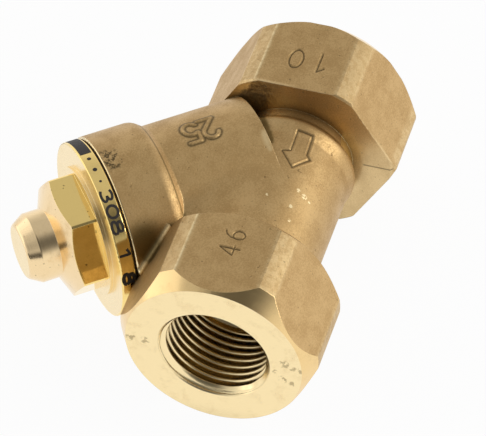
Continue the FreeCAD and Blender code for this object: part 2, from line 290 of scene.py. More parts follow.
class ForgingPlace:
    """Where a point of the forging lies, and masks for the places that wear, or get painted shade or painted
    highlights.

    Slanted is how far the point lies out towards the hexagons' slanted flats on the branch's side."""

    def __init__(self, graph, place):
        self.graph = graph
        self.along = graph.node("ShaderNodeSeparateXYZ", None, {0: place})
        self.sideways = self.along.beside(1)
        self.upward = self.along.beside(2)
        self.from_pipe = graph.length(self.sideways, self.upward)
        self.from_branch = graph.length(graph.from_crossing(place, ACROSS), self.upward)
        self.along_branch = graph.from_crossing(place, ALONG)
        self.slanted = graph.math("ABSOLUTE", self.upward) * 0.5 - self.sideways * math.cos(math.radians(30))

    def close_to(self, value, target, reach):
        """1 where the value is the target, and 0 from reach away."""
        return 1.0 - self.graph.step(self.graph.math("ABSOLUTE", value - target), reach * 0.25, reach)

    def hexagon_corners(self):
        """1 on the rounded corners of both hexagons, apart from the corner on the branch's side."""
        step = self.graph.step
        middle = (INLET_HEX_END + OUTLET_HEX_START) / 2
        half_gap = (OUTLET_HEX_START - INLET_HEX_END) / 2
        on_hexagon = step(self.graph.math("ABSOLUTE", self.along - middle), half_gap - 0.1, half_gap)
        corner = step(self.from_pipe, HEX_CORNER - 0.3, HEX_CORNER - 0.02)
        return corner * on_hexagon * step(self.sideways, -12.0, -11.5)

    def ridge_highlight(self):
        """1 on the thin ridges along the edge of the two top flats on the branch's side, where a highlight line is
        painted.
        """
        on_top = self.graph.step(self.upward, HEX_FLAT - 0.2, HEX_FLAT - 0.05)
        return self.close_to(self.sideways, TOP_FLAT_EDGE, 0.3) * on_top

    def inlet_back(self, lip):
        """1 on the back of the inlet's hexagon outside that radius, on the side away from the branch."""
        outside = self.graph.step(self.from_pipe, lip, 10.6) * self.graph.step(self.sideways, 0.0, 1.0)
        return outside * self.close_to(self.along, INLET_HEX_END, 0.6)

    def parting_line(self):
        """1 on the thin line that the dies left across the back of the inlet's hexagon."""
        return self.inlet_back(10.2) * self.close_to(self.upward, 0.0, 0.22)

    def lower_back_light(self):
        """1 on the lower part of the back of the inlet's hexagon, which is painted lighter: a painted reflection.
        """
        return self.inlet_back(9.8) * (1.0 - self.graph.step(self.upward, 2.0, 8.0))

    def collar_foot_shade(self):
        """1 on the thin line round the foot of the collar, where a dark line of painted shade goes."""
        round_foot = self.close_to(self.from_branch, COLLAR_FOOT_RADIUS, 0.15)
        return round_foot * self.close_to(self.along_branch, COLLAR_FOOT, 1.0)

    def collar_corner_highlight(self):
        """1 on the rounded corner between the collar and the outlet hexagon's slanted flats, where a painted
        highlight goes.
        """
        inside = self.graph.step(self.slanted, HEX_FLAT + 0.01, HEX_FLAT + 0.1)
        return inside * self.graph.step(self.from_branch, COLLAR_RADIUS + 0.01, COLLAR_RADIUS + 0.1)

    def crotch_shade(self):
        """1 along the line where the barrel meets the lip, fading out down the pipe: painted shade in the crease.
        """
        step = self.graph.step
        on_barrel = 1.0 - step(self.graph.math("ABSOLUTE", self.from_branch - BARREL_RADIUS), 0.0, 0.9)
        on_pipe = 1.0 - step(self.graph.math("ABSOLUTE", self.from_pipe - PIPE_RADIUS), 0.1, 1.0)
        return on_barrel * on_pipe * (1.0 - step(self.along, 19.5, 22.5))


def forged_brass(name, finish):
    """Tumbled hot-forged brass: fine grain, slow drift of tone, pits, dirt in marks, worn edges, painted shade in
    hollows and creases, and painted highlights on ridges.

    Each kind of wear, dirt, painted shade and painted highlight is a mask times the share of full strength at
    which it shows."""
    graph = Finish(name, Metallic=1.0)
    place = graph.place()
    spot = ForgingPlace(graph, place)
    grain = graph.noise(place, scale=4.2, detail=3.0, roughness=0.62)
    drift = graph.noise(place, scale=0.35)
    pits = graph.step(graph.noise(place, scale=1.9, roughness=0.55), 0.68, 0.74)
    worn = graph.step(graph.noise(place, scale=1.1, detail=3.0, roughness=0.65), 0.4, 0.6)
    broken = graph.step(graph.noise(place, scale=2.6, detail=1.0), 0.4, 0.5)
    mark = graph.node("ShaderNodeAttribute", {"attribute_name": "mark"}, output="Fac")
    soft = graph.softened(0.2)
    turned = 1.0 - graph.facing(soft, graph.normal())
    near_open = graph.openness(1.8, 0.25, 0.75)
    wide_open = graph.openness(7.0, 0.15, 0.7)
    edges = graph.step(turned, 0.02, 0.16) * near_open
    behind_hexagon = graph.step(spot.along, INLET_HEX_END - 0.6, INLET_HEX_END - 0.1)
    flash = graph.near(place, FLASH, FLASH_REACH) * behind_hexagon
    # Wear and painted highlights: rubbed edges, corners and nicks, the flash, painted highlights on the web and
    # the flats' ridges, the painted glint by the lip, and the lower back painted lighter as a painted reflection
    wear_and_highlight = graph.most(
        edges * worn * 0.6,
        spot.hexagon_corners() * (worn * 0.2 + 0.1),
        spot.collar_corner_highlight() * (worn * 0.2 + 0.25),
        spot.ridge_highlight() * (worn * 0.4 + 0.4),
        graph.step(graph.blotted(place, PIPE_NICKS) * broken, 0.15, 0.4),
        graph.step(graph.blotted(place, LIP_GLINT), 0.0, 1.4) * 0.5,
        flash * 0.6,
        spot.lower_back_light() * 0.38,
    )
    # Painted shade: in hollows, stronger towards the outlet, in the crease by the lip, the painted shadows by the
    # lip and on the collar, and the dark line round the collar's foot
    painted_shade = graph.most(
        (1.0 - wide_open) * (0.6 + graph.step(spot.along, 20.0, 32.0) * 0.35) * (1.0 - flash * 0.8),
        spot.crotch_shade() * 0.75,
        graph.step(graph.blotted(place, LIP_SHADOW + COLLAR_SHADE), 0.1, 0.9) * 0.78,
        spot.collar_foot_shade() * 0.6,
    )
    # Dirt in marks, smudges and the parting line, and painted shade in narrow creases
    darkening = graph.most(
        mark * 0.85,
        graph.smudged(place, COLLAR_SMUDGE) * 0.85,
        spot.parting_line() * 0.6,
        (1.0 - near_open) * 0.5,
    )
    tone = graph.step(drift * 0.4 + grain * 0.6, 0.38, 0.62)
    colour = graph.mix(tone, rgba(finish.forged_dark), rgba(finish.forged_light))
    colour = graph.mix(wear_and_highlight, colour, rgba(finish.machined))
    colour = graph.mix(pits * 0.4, colour, rgba(finish.soot_and_shade))
    colour = graph.mix(painted_shade, colour, rgba(finish.shade_and_smudge))
    colour = graph.mix(darkening, colour, rgba(finish.soot_and_shade))
    lumps = graph.noise(place, scale=0.8) * flash * 12.0
    return graph.feed(
        Base_Color=colour,
        Roughness=0.5 + (0.5 - tone) * 0.12 - wear_and_highlight * 0.15 + pits * 0.1,
        Normal=graph.bump(grain * 0.7 - pits + worn * edges + lumps, 0.02, soft),
    )


def turned_brass(
    name, finish, colour, origin=(0.0, 0.0, 0.0), turn=0.0, lines=9.0, roughness=0.2, stains=0.2, specks=0.0,
    hollow_shade=0.0, reach=6.0, smudges=(),
):
    """Lathe-cut brass: fine rings about an axis, stains, dark specks, smudges, and painted shade in its hollows.

    The axis passes through the origin, and leans from the pipe's by the turn, as the branch does. Lines says
    about how many rings there are in a millimetre, and the painted shade counts what stands within reach."""
    graph = Finish(name, Metallic=1.0)
    place = graph.place()
    inputs = {"Vector": graph.vector("SUBTRACT", place, tuple(origin)), "Rotation": (0.0, 0.0, turn)}
    along = graph.node("ShaderNodeSeparateXYZ", None, {0: graph.node("ShaderNodeMapping", None, inputs)})
    radius = graph.length(along.beside(1), along.beside(2))
    cut = graph.node("ShaderNodeCombineXYZ", None, {0: radius * lines, 1: along * lines})
    rings = graph.noise(cut, scale=1.0, roughness=0.6)
    stain = graph.step(graph.noise(place, scale=0.45, detail=4.0, roughness=0.65), 0.5, 0.72)
    tone = graph.mix(stain * stains, rgba(colour), rgba(finish.forged_light))
    if specks:
        spots = graph.step(graph.noise(place, scale=1.6, detail=1.0), 0.74, 0.78)
        tone = graph.mix(spots * specks, tone, rgba(finish.soot_and_shade))
    if smudges:
        tone = graph.mix(graph.smudged(place, smudges) * 0.5, tone, rgba(finish.shade_and_smudge))
    # Painted shade: darker where little open space lies within reach
    if hollow_shade:
        tone = graph.mix((1.0 - graph.openness(reach, 0.12, 0.7)) * hollow_shade, tone, rgba(finish.shade_and_smudge))
    return graph.feed(
        Base_Color=tone,
        Roughness=roughness + (rings - 0.5) * 0.1 + stain * stains * 0.3,
        Normal=graph.bump(rings, 0.004, graph.softened(0.12)),
    )


def plain_finish(name, colour, metallic, roughness, scale, depth, drift=0.3):
    """A small part's finish: a noise of that scale lifts the surface by depth and shades the colour."""
    graph = Finish(name, Metallic=metallic)
    noise = graph.noise(graph.place(), scale, detail=3.0, roughness=0.6)
    dark = rgba(tuple(c * (1 - drift) for c in colour))
    return graph.feed(
        Base_Color=graph.mix(graph.step(noise, 0.35, 0.65), dark, rgba(colour)),
        Roughness=roughness + (noise - 0.5) * 0.2,
        Normal=graph.bump(noise, depth, graph.normal()),
    )


# meshes


def new_object(name, mesh, body):
    """Puts a finished mesh, with its place in its vertices, on a body."""
    made = bpy.data.objects.new(name, mesh)
    bpy.context.scene.collection.objects.link(made)
    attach(made, body)
    return made


def closed_grid(name, points, smooth_angle, wrap_rows=True):
    """A mesh from points of shape (rows, columns, 3) in millimetres, closed round its columns.

    Quad (i, j) joins rows i and i + 1 at columns j and j + 1. With wrap_rows the last row joins the first,
    and without it each end row gets a cap of its own."""
    rows, columns = points.shape[:2]
    row = np.arange(rows if wrap_rows else rows - 1)[:, None]
    column = np.arange(columns)[None, :]
    ahead = (row + 1) % rows
    beside = (column + 1) % columns
    corners = [(row, column), (row, beside), (ahead, beside), (ahead, column)]
    faces = np.stack([i * columns + j for i, j in corners], -1).reshape(-1, 4).tolist()
    if not wrap_rows:
        faces += [list(range(columns))[::-1], list(range((rows - 1) * columns, rows * columns))]
    mesh = bpy.data.meshes.new(name)
    mesh.from_pydata((points.reshape(-1, 3) * MM).tolist(), [], faces)
    mesh.polygons.foreach_set("use_smooth", np.ones(len(mesh.polygons), bool))
    mesh.set_sharp_from_angle(angle=math.radians(smooth_angle))
    mesh.update()
    return mesh


def branch_points(along, across, up):
    """Points in the row frame from their coordinates along, across and above the branch axis."""
    return CROSSING + along[..., None] * ALONG + across[..., None] * ACROSS + up[..., None] * UP


def merged_solid(node):
    """A bmesh of a CAD node with its loose triangles joined, whose corners keep the solid's own normals."""
    mesh = frame["nodes"][node].data.copy()
    normals = np.empty(len(mesh.loops) * 3, np.float32)
    mesh.corner_normals.foreach_get("vector", normals)
    mesh.attributes.new("solid_normal", "FLOAT_VECTOR", "CORNER").data.foreach_set("vector", normals)
    solid = bmesh.new()
    solid.from_mesh(mesh)
    bpy.data.meshes.remove(mesh)
    bmesh.ops.remove_doubles(solid, verts=solid.verts, dist=1e-6)
    solid.verts.layers.float.new("mark")
    solid.verts.layers.float.new("moved")
    return solid


def finished_mesh(name, solid):
    """A mesh from the bmesh, with the solid's own normals where its surface was left alone."""
    mesh = bpy.data.meshes.new(name)
    solid.to_mesh(mesh)
    solid.free()
    mesh.materials.clear()
    mesh.polygons.foreach_set("use_smooth", np.ones(len(mesh.polygons), bool))
    mesh.set_sharp_from_angle(angle=math.radians(30))
    corners = len(mesh.loops)
    normals = np.empty(corners * 3, np.float32)
    mesh.attributes["solid_normal"].data.foreach_get("vector", normals)
    normals = normals.reshape(-1, 3)
    normals /= np.maximum(np.linalg.norm(normals, axis=1), 1e-6)[:, None]
    moved = np.empty(len(mesh.vertices), np.float32)
    mesh.attributes["moved"].data.foreach_get("value", moved)
    vertex = np.empty(corners, np.int32)
    mesh.loops.foreach_get("vertex_index", vertex)
    starts = np.empty(len(mesh.polygons), np.int32)
    mesh.polygons.foreach_get("loop_start", starts)
    counts = np.diff(np.append(starts, corners))
    reshaped = np.maximum.reduceat(moved[vertex], starts) > 0
    normals[np.repeat(reshaped, counts)] = 0
    mesh.normals_split_custom_set(normals)
    for used in ("solid_normal", "moved"):
        mesh.attributes.remove(mesh.attributes[used])
    return mesh


def face_arrays(mesh):
    """The polygons' centres in millimetres, and their normals."""
    centres = np.empty(len(mesh.polygons) * 3)
    normals = np.empty(len(mesh.polygons) * 3)
    mesh.polygons.foreach_get("center", centres)
    mesh.polygons.foreach_get("normal", normals)
    return centres.reshape(-1, 3) / MM, normals.reshape(-1, 3)


# stamped and raised marks


def arc(centre, radii, start, end, count):
    """That many points on an ellipse from start to end, in degrees."""
    angle = np.radians(np.linspace(start, end, count))
    return np.stack([centre[0] + radii[0] * np.cos(angle), centre[1] + radii[1] * np.sin(angle)], -1)


# Strokes of the numerals, in a box 0.56 wide and 1 high
NUMERALS = {
    "0": [arc((0.28, 0.5), (0.26, 0.48), 0, 360, 24)],
    "1": [np.array([(0.08, 0.76), (0.32, 0.98), (0.32, 0.02)])],
    "2": [np.vstack([arc((0.28, 0.72), (0.25, 0.26), 165, -35, 14), [(0.03, 0.02), (0.54, 0.02)]])],
    "3": [np.vstack([
        arc((0.27, 0.74), (0.22, 0.24), 150, -80, 12), arc((0.27, 0.26), (0.26, 0.25), 85, -150, 14)
    ])],
    "4": [np.array([(0.42, 0.02), (0.42, 0.98), (0.02, 0.3), (0.56, 0.3)])],
    "5": [np.vstack([
        [(0.5, 0.96), (0.1, 0.96), (0.06, 0.56)], arc((0.27, 0.31), (0.26, 0.3), 128, -150, 14)
    ])],
    "6": [
        arc((0.28, 0.3), (0.25, 0.28), 0, 360, 20),
        np.array([(0.03, 0.34), (0.1, 0.66), (0.26, 0.88), (0.46, 0.98)]),
    ],
    "8": [arc((0.28, 0.75), (0.21, 0.22), 0, 360, 20), arc((0.28, 0.27), (0.26, 0.26), 0, 360, 22)],
}

# The flow arrow's outline from above, in millimetres along the pipe and across it
FLOW_ARROW = [
    np.array([
        (18.44, 1.78), (18.35, 4.04), (22.04, 4.2), (22.6, 4.82),
        (25.44, 2.91), (22.92, 0.65), (22.42, 1.87), (18.44, 1.78),
    ])
]

# In half widths of a mark's strokes: where its rim stands, how far rim and dirt spread, and how far out the
# surface is changed
RIM_PLACE = 1.6
RIM_SPREAD = 0.4
DIRT_SPREAD = 0.5
MARK_REACH = 3


def written(text, origin, rightward, upward, height, pitch):
    """The strokes of a row of signs, from the first sign's lower left corner along rightward."""
    origin = np.array(origin, float)
    rightward = np.array(rightward, float)
    upward = np.array(upward, float)
    strokes = []
    for i, sign in enumerate(text):
        start = origin + rightward * pitch * i
        for points in NUMERALS[sign]:
            strokes.append(start + height * (points[:, :1] * rightward + points[:, 1:] * upward))
    return strokes


def stroke_distance(points, strokes):
    """How far each 2-D point lies from the nearest segment of the strokes."""
    nearest = np.full(len(points), np.inf)
    for stroke in strokes:
        for start, end in zip(stroke[:-1], stroke[1:]):
            run = end - start
            share = np.clip((points - start) @ run / max(run @ run, 1e-12), 0, 1)
            nearest = np.minimum(nearest, np.linalg.norm(points - start - share[:, None] * run, axis=1))
    return nearest


def mark_surface(solid, surface, strokes, width, depth, rim, darkening):
    """Cuts a surface into small cells under the strokes, and moves them out or in there.

    At s half widths from a stroke the surface moves out by
    depth * (1 - smoothstep(s)) + rim * exp(-((s - RIM_PLACE) / RIM_SPREAD)^2),
    and the dirt there is exp(-((s - dirt) / DIRT_SPREAD)^2)."""
    origin, first, second, outward = surface
    everything = np.vstack(strokes)
    margin = 4 * width
    low = everything.min(0) - margin
    high = everything.max(0) + margin
    chosen = []
    for face in solid.faces:
        points = np.array([v.co[:] for v in face.verts]) / MM - origin
        spots = np.column_stack([points @ first, points @ second])
        faces_out = np.dot(face.normal, outward(points.mean(0)[None])[0]) > 0.85
        if faces_out and (spots.max(0) > low).all() and (spots.min(0) < high).all():
            chosen.append(face)
    edges = {edge for face in chosen for edge in face.edges}
    vertices = {vertex for face in chosen for vertex in face.verts}
    cells = [*vertices, *edges, *chosen]
    for axis, direction in ((0, first), (1, second)):
        for place in np.arange(low[axis], high[axis], width / 2):
            point = Vector((origin + direction * place) * MM)
            cut = bmesh.ops.bisect_plane(solid, geom=cells, plane_co=point, plane_no=direction, dist=1e-8)
            cells = cut["geom"]
    corners = [item for item in cells if isinstance(item, bmesh.types.BMVert)]
    points = np.array([v.co[:] for v in corners]) / MM - origin
    spots = np.column_stack([points @ first, points @ second])
    reach = stroke_distance(spots, strokes) / width
    share = np.clip(reach, 0, 1)
    lift = depth * (1 - share**2 * (3 - 2 * share)) + rim * np.exp(-(((reach - RIM_PLACE) / RIM_SPREAD) ** 2))
    stained = np.exp(-(((reach - darkening) / DIRT_SPREAD) ** 2))
    shift = outward(points) * lift[:, None] * MM
    mark = solid.verts.layers.float["mark"]
    moved = solid.verts.layers.float["moved"]
    for vertex, step, stain, near in zip(corners, shift, stained, reach < MARK_REACH):
        if near:
            vertex.co += Vector(step)
            vertex[mark] = max(vertex[mark], stain)
            vertex[moved] = 1.0


def top_side(points):
    """Outward directions of a level face that looks up."""
    return np.broadcast_to(UP, points.shape)


def round_side(axis):
    """Outward directions of a cylinder about that axis, as a function of points measured from the axis."""
    def outward(points):
        away = points - (points @ axis)[:, None] * axis
        return away / np.linalg.norm(away, axis=1)[:, None]

    return outward


def stamped_marks(solid):
    """Presses the flow arrow and plain numbers into the forging, and raises a plain number on the barrel.

    Each surface is given by its origin, the directions of the strokes' two coordinates, and its outside."""
    inlet_end = np.zeros(3)
    along_pipe = np.array([1.0, 0.0, 0.0])
    sideways = np.array([0.0, 1.0, 0.0])
    pipe = (inlet_end, along_pipe, sideways, round_side(along_pipe))
    top_flats = (inlet_end, along_pipe, sideways, top_side)
    barrel = (CROSSING, ALONG, ACROSS, round_side(ALONG))
    on_inlet = written("10", origin=(5.95, 3.3), rightward=(0, -1), upward=(1, 0), height=3.9, pitch=3.7)
    on_outlet = written("46", origin=(48.31, 1.66), rightward=(-1, 0), upward=(0, -1), height=3.1, pitch=3.1)
    on_barrel = written("25", origin=(11.0, -3.4), rightward=(1, 0), upward=(0, 1), height=4.4, pitch=2.7)
    mark_surface(solid, pipe, FLOW_ARROW, width=0.22, depth=-0.15, rim=0.04, darkening=0.0)
    mark_surface(solid, top_flats, on_inlet, width=0.27, depth=-0.2, rim=0.05, darkening=0.0)
    mark_surface(solid, top_flats, on_outlet, width=0.22, depth=-0.16, rim=0.05, darkening=0.0)
    mark_surface(solid, barrel, on_barrel, width=0.36, depth=0.24, rim=0.0, darkening=1.2)


# settings


class ValveFinish(PropertyGroup):
    forged_dark: FloatVectorProperty(
        name="Forged brass, dark", description="Darker tone of the forged skin", subtype="COLOR",
        default=(0.5, 0.325, 0.137), min=0, max=1,
    )
    forged_light: FloatVectorProperty(
        name="Forged brass, light", description="Lighter tone of the forged skin", subtype="COLOR",
        default=(0.62, 0.418, 0.188), min=0, max=1,
    )
    machined: FloatVectorProperty(
        name="Machined brass", description="Freshly cut end faces and bevels", subtype="COLOR",
        default=(0.98, 0.79, 0.45), min=0, max=1,
    )
    chamfer: FloatVectorProperty(
        name="Chamfer brass", description="Turned chamfers of the end hexagons", subtype="COLOR",
        default=(0.92, 0.66, 0.31), min=0, max=1,
    )
    satin: FloatVectorProperty(
        name="Satin brass", description="Turned nose and cone of the cap", subtype="COLOR",
        default=(0.93, 0.71, 0.41), min=0, max=1,
    )
    drawn: FloatVectorProperty(
        name="Drawn brass", description="Golden flats and rim of the cap", subtype="COLOR",
        default=(1.0, 0.74, 0.27), min=0, max=1,
    )
    # Also the colour of the painted shade in the forging's narrow creases
    soot_and_shade: FloatVectorProperty(
        name="Dirt", description="Dirt in pits, marks and smudges", subtype="COLOR",
        default=(0.075, 0.055, 0.025), min=0, max=1,
    )
    # Painted shade: the brown darkening in hollows, creases and bores; also the colour of the end faces' smudges
    shade_and_smudge: FloatVectorProperty(
        name="Hollows", description="Brown tarnish deep in hollows and bores", subtype="COLOR",
        default=(0.12, 0.08, 0.02), min=0, max=1,
    )


class ThreadSizes(PropertyGroup):
    pitch: FloatProperty(
        name="Pitch", description="Rise per turn of the port threads, 19 per inch", subtype="DISTANCE",
        default=1.337 * MM,
    )
    major: FloatProperty(
        name="Major diameter", description="Diameter over the thread roots", subtype="DISTANCE",
        default=2 * MOUNTS["inlet_port"]["dims"]["r_mm"] * MM,
    )
    minor: FloatProperty(
        name="Minor diameter", description="Diameter over the thread crests", subtype="DISTANCE",
        default=14.95 * MM,
    )
    mouth: FloatProperty(
        name="Mouth diameter", description="Diameter of the bevel at the end face", subtype="DISTANCE",
        default=17.0 * MM,
    )
    inlet_length: FloatProperty(
        name="Inlet thread", description="Depth of the inlet thread", subtype="DISTANCE",
        default=MOUNTS["inlet_port"]["dims"]["length_mm"] * MM,
    )
    outlet_length: FloatProperty(
        name="Outlet thread", description="Depth of the outlet thread", subtype="DISTANCE",
        default=MOUNTS["outlet_port"]["dims"]["length_mm"] * MM,
    )


class SpringSizes(PropertyGroup):
    wire: FloatProperty(name="Wire", description="Wire diameter", subtype="DISTANCE", default=0.7 * MM)
    mean: FloatProperty(name="Coil", description="Mean coil diameter", subtype="DISTANCE", default=8.6 * MM)
    turns: FloatProperty(name="Turns", description="Working turns between the closed ends", default=5.5)
    end_turns: FloatProperty(name="End turns", description="Level turns at each end", default=0.75)
    around: IntProperty(name="Sides", description="Points round the wire", default=14)


# body


# Radii and ends of the machined bores in millimetres, with a little over: the ports, the chamber with the
# cap's thread, and the seat's bore
PORT_REACH = 8.7
CHAMBER_REACH = 11.6
CHAMBER_START = 4.9
SEAT_REACH = 5.7
SEAT_END = 9.0

# The end chamfers lie outside this radius and within this depth, and their normals lean this far along X
CHAMFER_RADIUS = 13.0
CHAMFER_DEPTH = 3.0
CHAMFER_LEAN = (0.45, 0.7)


def machined_faces(centres, normals):
    """0 for the forged skin, 1 for end faces, bores, seat and collar face, and 2 for the end chamfers."""
    along_pipe = centres[:, 0]
    from_pipe = np.hypot(centres[:, 1], centres[:, 2])
    moved = centres - CROSSING
    along_branch = moved @ ALONG
    from_branch = np.hypot(moved @ ACROSS, centres[:, 2])
    from_end = np.minimum(np.abs(along_pipe), np.abs(along_pipe - LENGTH))
    lean = np.abs(normals[:, 0])
    chamfers = (lean > CHAMFER_LEAN[0]) & (lean < CHAMFER_LEAN[1])
    chamfers &= (from_pipe > CHAMFER_RADIUS) & (from_end < CHAMFER_DEPTH)
    machined = (from_end < 0.02) | (from_pipe < PORT_REACH)
    machined |= (from_branch < CHAMBER_REACH) & (along_branch > CHAMBER_START)
    machined |= (from_branch < SEAT_REACH) & (np.abs(along_branch) < SEAT_END)
    by_cap = along_branch > COLLAR_FACE - 0.2
    machined |= by_cap & ((normals @ ALONG > 0.9) | (from_branch < COLLAR_RADIUS + 0.5))
    return np.where(chamfers, 2, machined).astype(np.int32)


class VALVE_OT_forged_body(Operator):
    """Shows the forged body with its stamped marks and machined faces"""

    bl_idname = "valve.forged_body"
    bl_label = "Forged body"

    def execute(self, context):
        finish = context.scene.valve_finish
        solid = merged_solid("body")
        stamped_marks(solid)
        mesh = finished_mesh("forged_body", solid)
        for material in (
            forged_brass("forged_brass_skin", finish),
            # Painted shade in the end faces' bores
            turned_brass(
                "machined_brass", finish, finish.machined, roughness=0.22, hollow_shade=0.7, smudges=END_SMUDGES
            ),
            turned_brass("chamfer_brass", finish, finish.chamfer, lines=6.0),
        ):
            mesh.materials.append(material)
        mesh.polygons.foreach_set("material_index", machined_faces(*face_arrays(mesh)))
        body = new_object("forged_body", mesh, "housing")
        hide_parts("body")
        return {"FINISHED"}


# threads


def thread_sleeve(name, sizes, length, start, heading):
    """The ridges of a port's thread: radius as a function of the angle a and the depth x, in millimetres.

    r = major / 2 - height * ridge(x / pitch - a / 2 pi), where the ridge is a triangle wave with flattened
    tops that fades out over the last turn. The mouth's cone r = mouth / 2 - 0.9 x cuts it back. It stays a
    hair inside the bore, whose metal takes the sleeve's outer wall."""
    columns = 144
    rows = 190
    cone_slope = 0.9
    flattening = 1.18
    runout = 0.3
    hair = 0.004
    sunk = 0.02
    pitch = sizes.pitch / MM
    major = sizes.major / MM / 2
    height = major - sizes.minor / MM / 2
    mouth = sizes.mouth / MM / 2
    angle = np.linspace(0, 2 * math.pi, columns, endpoint=False)[None, :]
    depth = np.linspace(mouth - major, length - sunk, rows)[:, None]
    phase = depth / pitch - heading * angle / (2 * math.pi)
    wave = 4 * np.abs(phase - np.floor(phase + 0.5)) - 1
    ridge = 0.5 + 0.5 * np.sin(math.pi / 2 * np.clip(flattening * wave, -1, 1))
    fade = np.clip((length - runout - depth) / pitch, 0, 1)
    radius = np.maximum(major - height * ridge * fade, mouth - cone_slope * depth)
    radius = np.minimum(radius, major - hair)
    radius = np.vstack([radius, np.full_like(radius[:2], major + sunk)])
    depth = np.vstack([depth, depth[-1:], depth[:1]]) + 0 * angle
    points = np.stack([start + heading * depth, radius * np.cos(angle), radius * np.sin(angle)], -1)
    if heading < 0:
        points = points[:, ::-1]
    return closed_grid(name, points, smooth_angle=60)


class VALVE_OT_port_threads(Operator):
    """Cuts the pipe threads of both ports"""

    bl_idname = "valve.port_threads"
    bl_label = "Port threads"

    def execute(self, context):
        sizes = context.scene.valve_threads
        finish = context.scene.valve_finish
        # Painted shade deep in the threads
        cut = turned_brass("cut_thread", finish, finish.machined, lines=14.0, hollow_shade=0.95, reach=12.0)
        for name, length, start, heading in (
            ("inlet_thread", sizes.inlet_length / MM, 0.0, 1),
            ("outlet_thread", sizes.outlet_length / MM, LENGTH, -1),
        ):
            mesh = thread_sleeve(name, sizes, length, start, heading)
            mesh.materials.append(cut)
            new_object(name, mesh, "housing")
        return {"FINISHED"}


# cap


def cap_regions(centres, normals):
    """0 for the flange, 1 for the hexagon's flats, 2 for the rim, and 3 for the cone and the nose."""
    nose_top = 8.0
    moved = centres - CROSSING
    along = moved @ ALONG
    radius = np.hypot(moved @ ACROSS, centres[:, 2])
    lean = np.abs(normals @ ALONG)
    region = np.zeros(len(centres), np.int32)
    region[(along > WASHER_FACE + 0.05) & (lean < 0.99)] = 3
    region[(along > WASHER_FACE) & (along < NOSE_BASE) & (lean < 0.02) & (radius > nose_top)] = 1
    region[(along > FLANGE_BACK) & (along < FLANGE_FRONT) & (radius > FLANGE_RADIUS - 0.3)] = 2
    return region


class VALVE_OT_cap(Operator):
    """Shows the screwed cap with its turned and drawn finishes"""

    bl_idname = "valve.cap"
    bl_label = "Cap"

    def execute(self, context):
        finish = context.scene.valve_finish
        mesh = finished_mesh("screwed_cap", merged_solid("cap"))
        for name, colour, lines, roughness, stains, specks in (
            ("cap_flange", finish.machined, 7.0, 0.28, 0.1, 0.0),
            ("cap_flats", finish.drawn, 1.0, 0.07, 0.1, 0.7),
            ("cap_rim", finish.drawn, 5.0, 0.12, 0.15, 0.0),
            ("cap_nose", finish.satin, 5.0, 0.17, 0.25, 0.5),
        ):
            mesh.materials.append(
                turned_brass(name, finish, colour, CROSSING, BRANCH_ANGLE, lines, roughness, stains, specks)
            )
        mesh.polygons.foreach_set("material_index", cap_regions(*face_arrays(mesh)))
        cap = new_object("screwed_cap", mesh, "housing")
        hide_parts("cap")
        return {"FINISHED"}


# rim print


# The print goes round the rim, with places in degrees from +Z towards the outlet and sizes in millimetres;
# a millimetre of the rim is RIM_DEGREES long
RIM_MIDDLE = (FLANGE_BACK + FLANGE_FRONT) / 2
RIM_DEGREES = math.degrees(1 / FLANGE_RADIUS)
PRINT_LIFT = 0.012
BAR = (-44.0, -11.5)
BAR_WIDTH = 1.75
DOTS = ((-6.0, 0.62), (4.2, 0.66), (13.7, 0.4))
SIGNS = (("3", 19.8, 0.4), ("0", 30.8, 0.42), ("8", 40.9, 0.42), ("1", 58.8, 0.42), ("8", 76.5, 0.6))
SIGN_HEIGHT = 1.7
SIGN_STRETCH = 2.1


def ribbon(stroke, width):
    """A flat stroke of that width on the rim, as pairs of points beside a line given as (degrees, along)."""
    spots = np.column_stack([np.radians(stroke[:, 0]) * FLANGE_RADIUS, stroke[:, 1]])
    run = np.gradient(spots, axis=0)
    run /= np.linalg.norm(run, axis=1)[:, None]
    side = np.column_stack([-run[:, 1], run[:, 0]]) * width / 2
    rails = np.stack([spots + side, spots - side], 1).reshape(-1, 2)
    angle = rails[:, 0] / FLANGE_RADIUS
    radius = FLANGE_RADIUS + PRINT_LIFT
    return branch_points(rails[:, 1], radius * np.sin(angle), radius * np.cos(angle))


def dense(stroke, step=0.12):
    """The stroke with points added along its straight runs, no further apart than step."""
    parts = []
    for start, end in zip(stroke[:-1], stroke[1:]):
        count = max(1, math.ceil(np.linalg.norm(end - start) / step))
        parts.append(start + (end - start) * (np.arange(count) / count)[:, None])
    return np.vstack([*parts, stroke[-1:]])


def round_stroke(low, high, beside, count):
    """A stroke round the rim from low to high in degrees, beside its middle line by that many millimetres."""
    return np.column_stack([np.linspace(low, high, count), np.full(count, RIM_MIDDLE + beside)])


def printed_strokes():
    """The bar, the dots as close rows of strokes, and the signs, each stroke with its width."""
    strokes = [(round_stroke(*BAR, 0.0, 30), BAR_WIDTH)]
    for place, size in DOTS:
        for share in np.linspace(-0.9, 0.9, 9):
            half = size / 2 * RIM_DEGREES * math.sqrt(1 - share**2)
            strokes.append((round_stroke(place - half, place + half, share * size / 2, 5), size / 8))
    for sign, place, width in SIGNS:
        for stroke in NUMERALS[sign]:
            across = place / RIM_DEGREES + stroke[:, 0] * SIGN_HEIGHT * SIGN_STRETCH
            along = RIM_MIDDLE + SIGN_HEIGHT / 2 - stroke[:, 1] * SIGN_HEIGHT
            strokes.append((dense(np.column_stack([across, along])) * (RIM_DEGREES, 1), width))
    return strokes


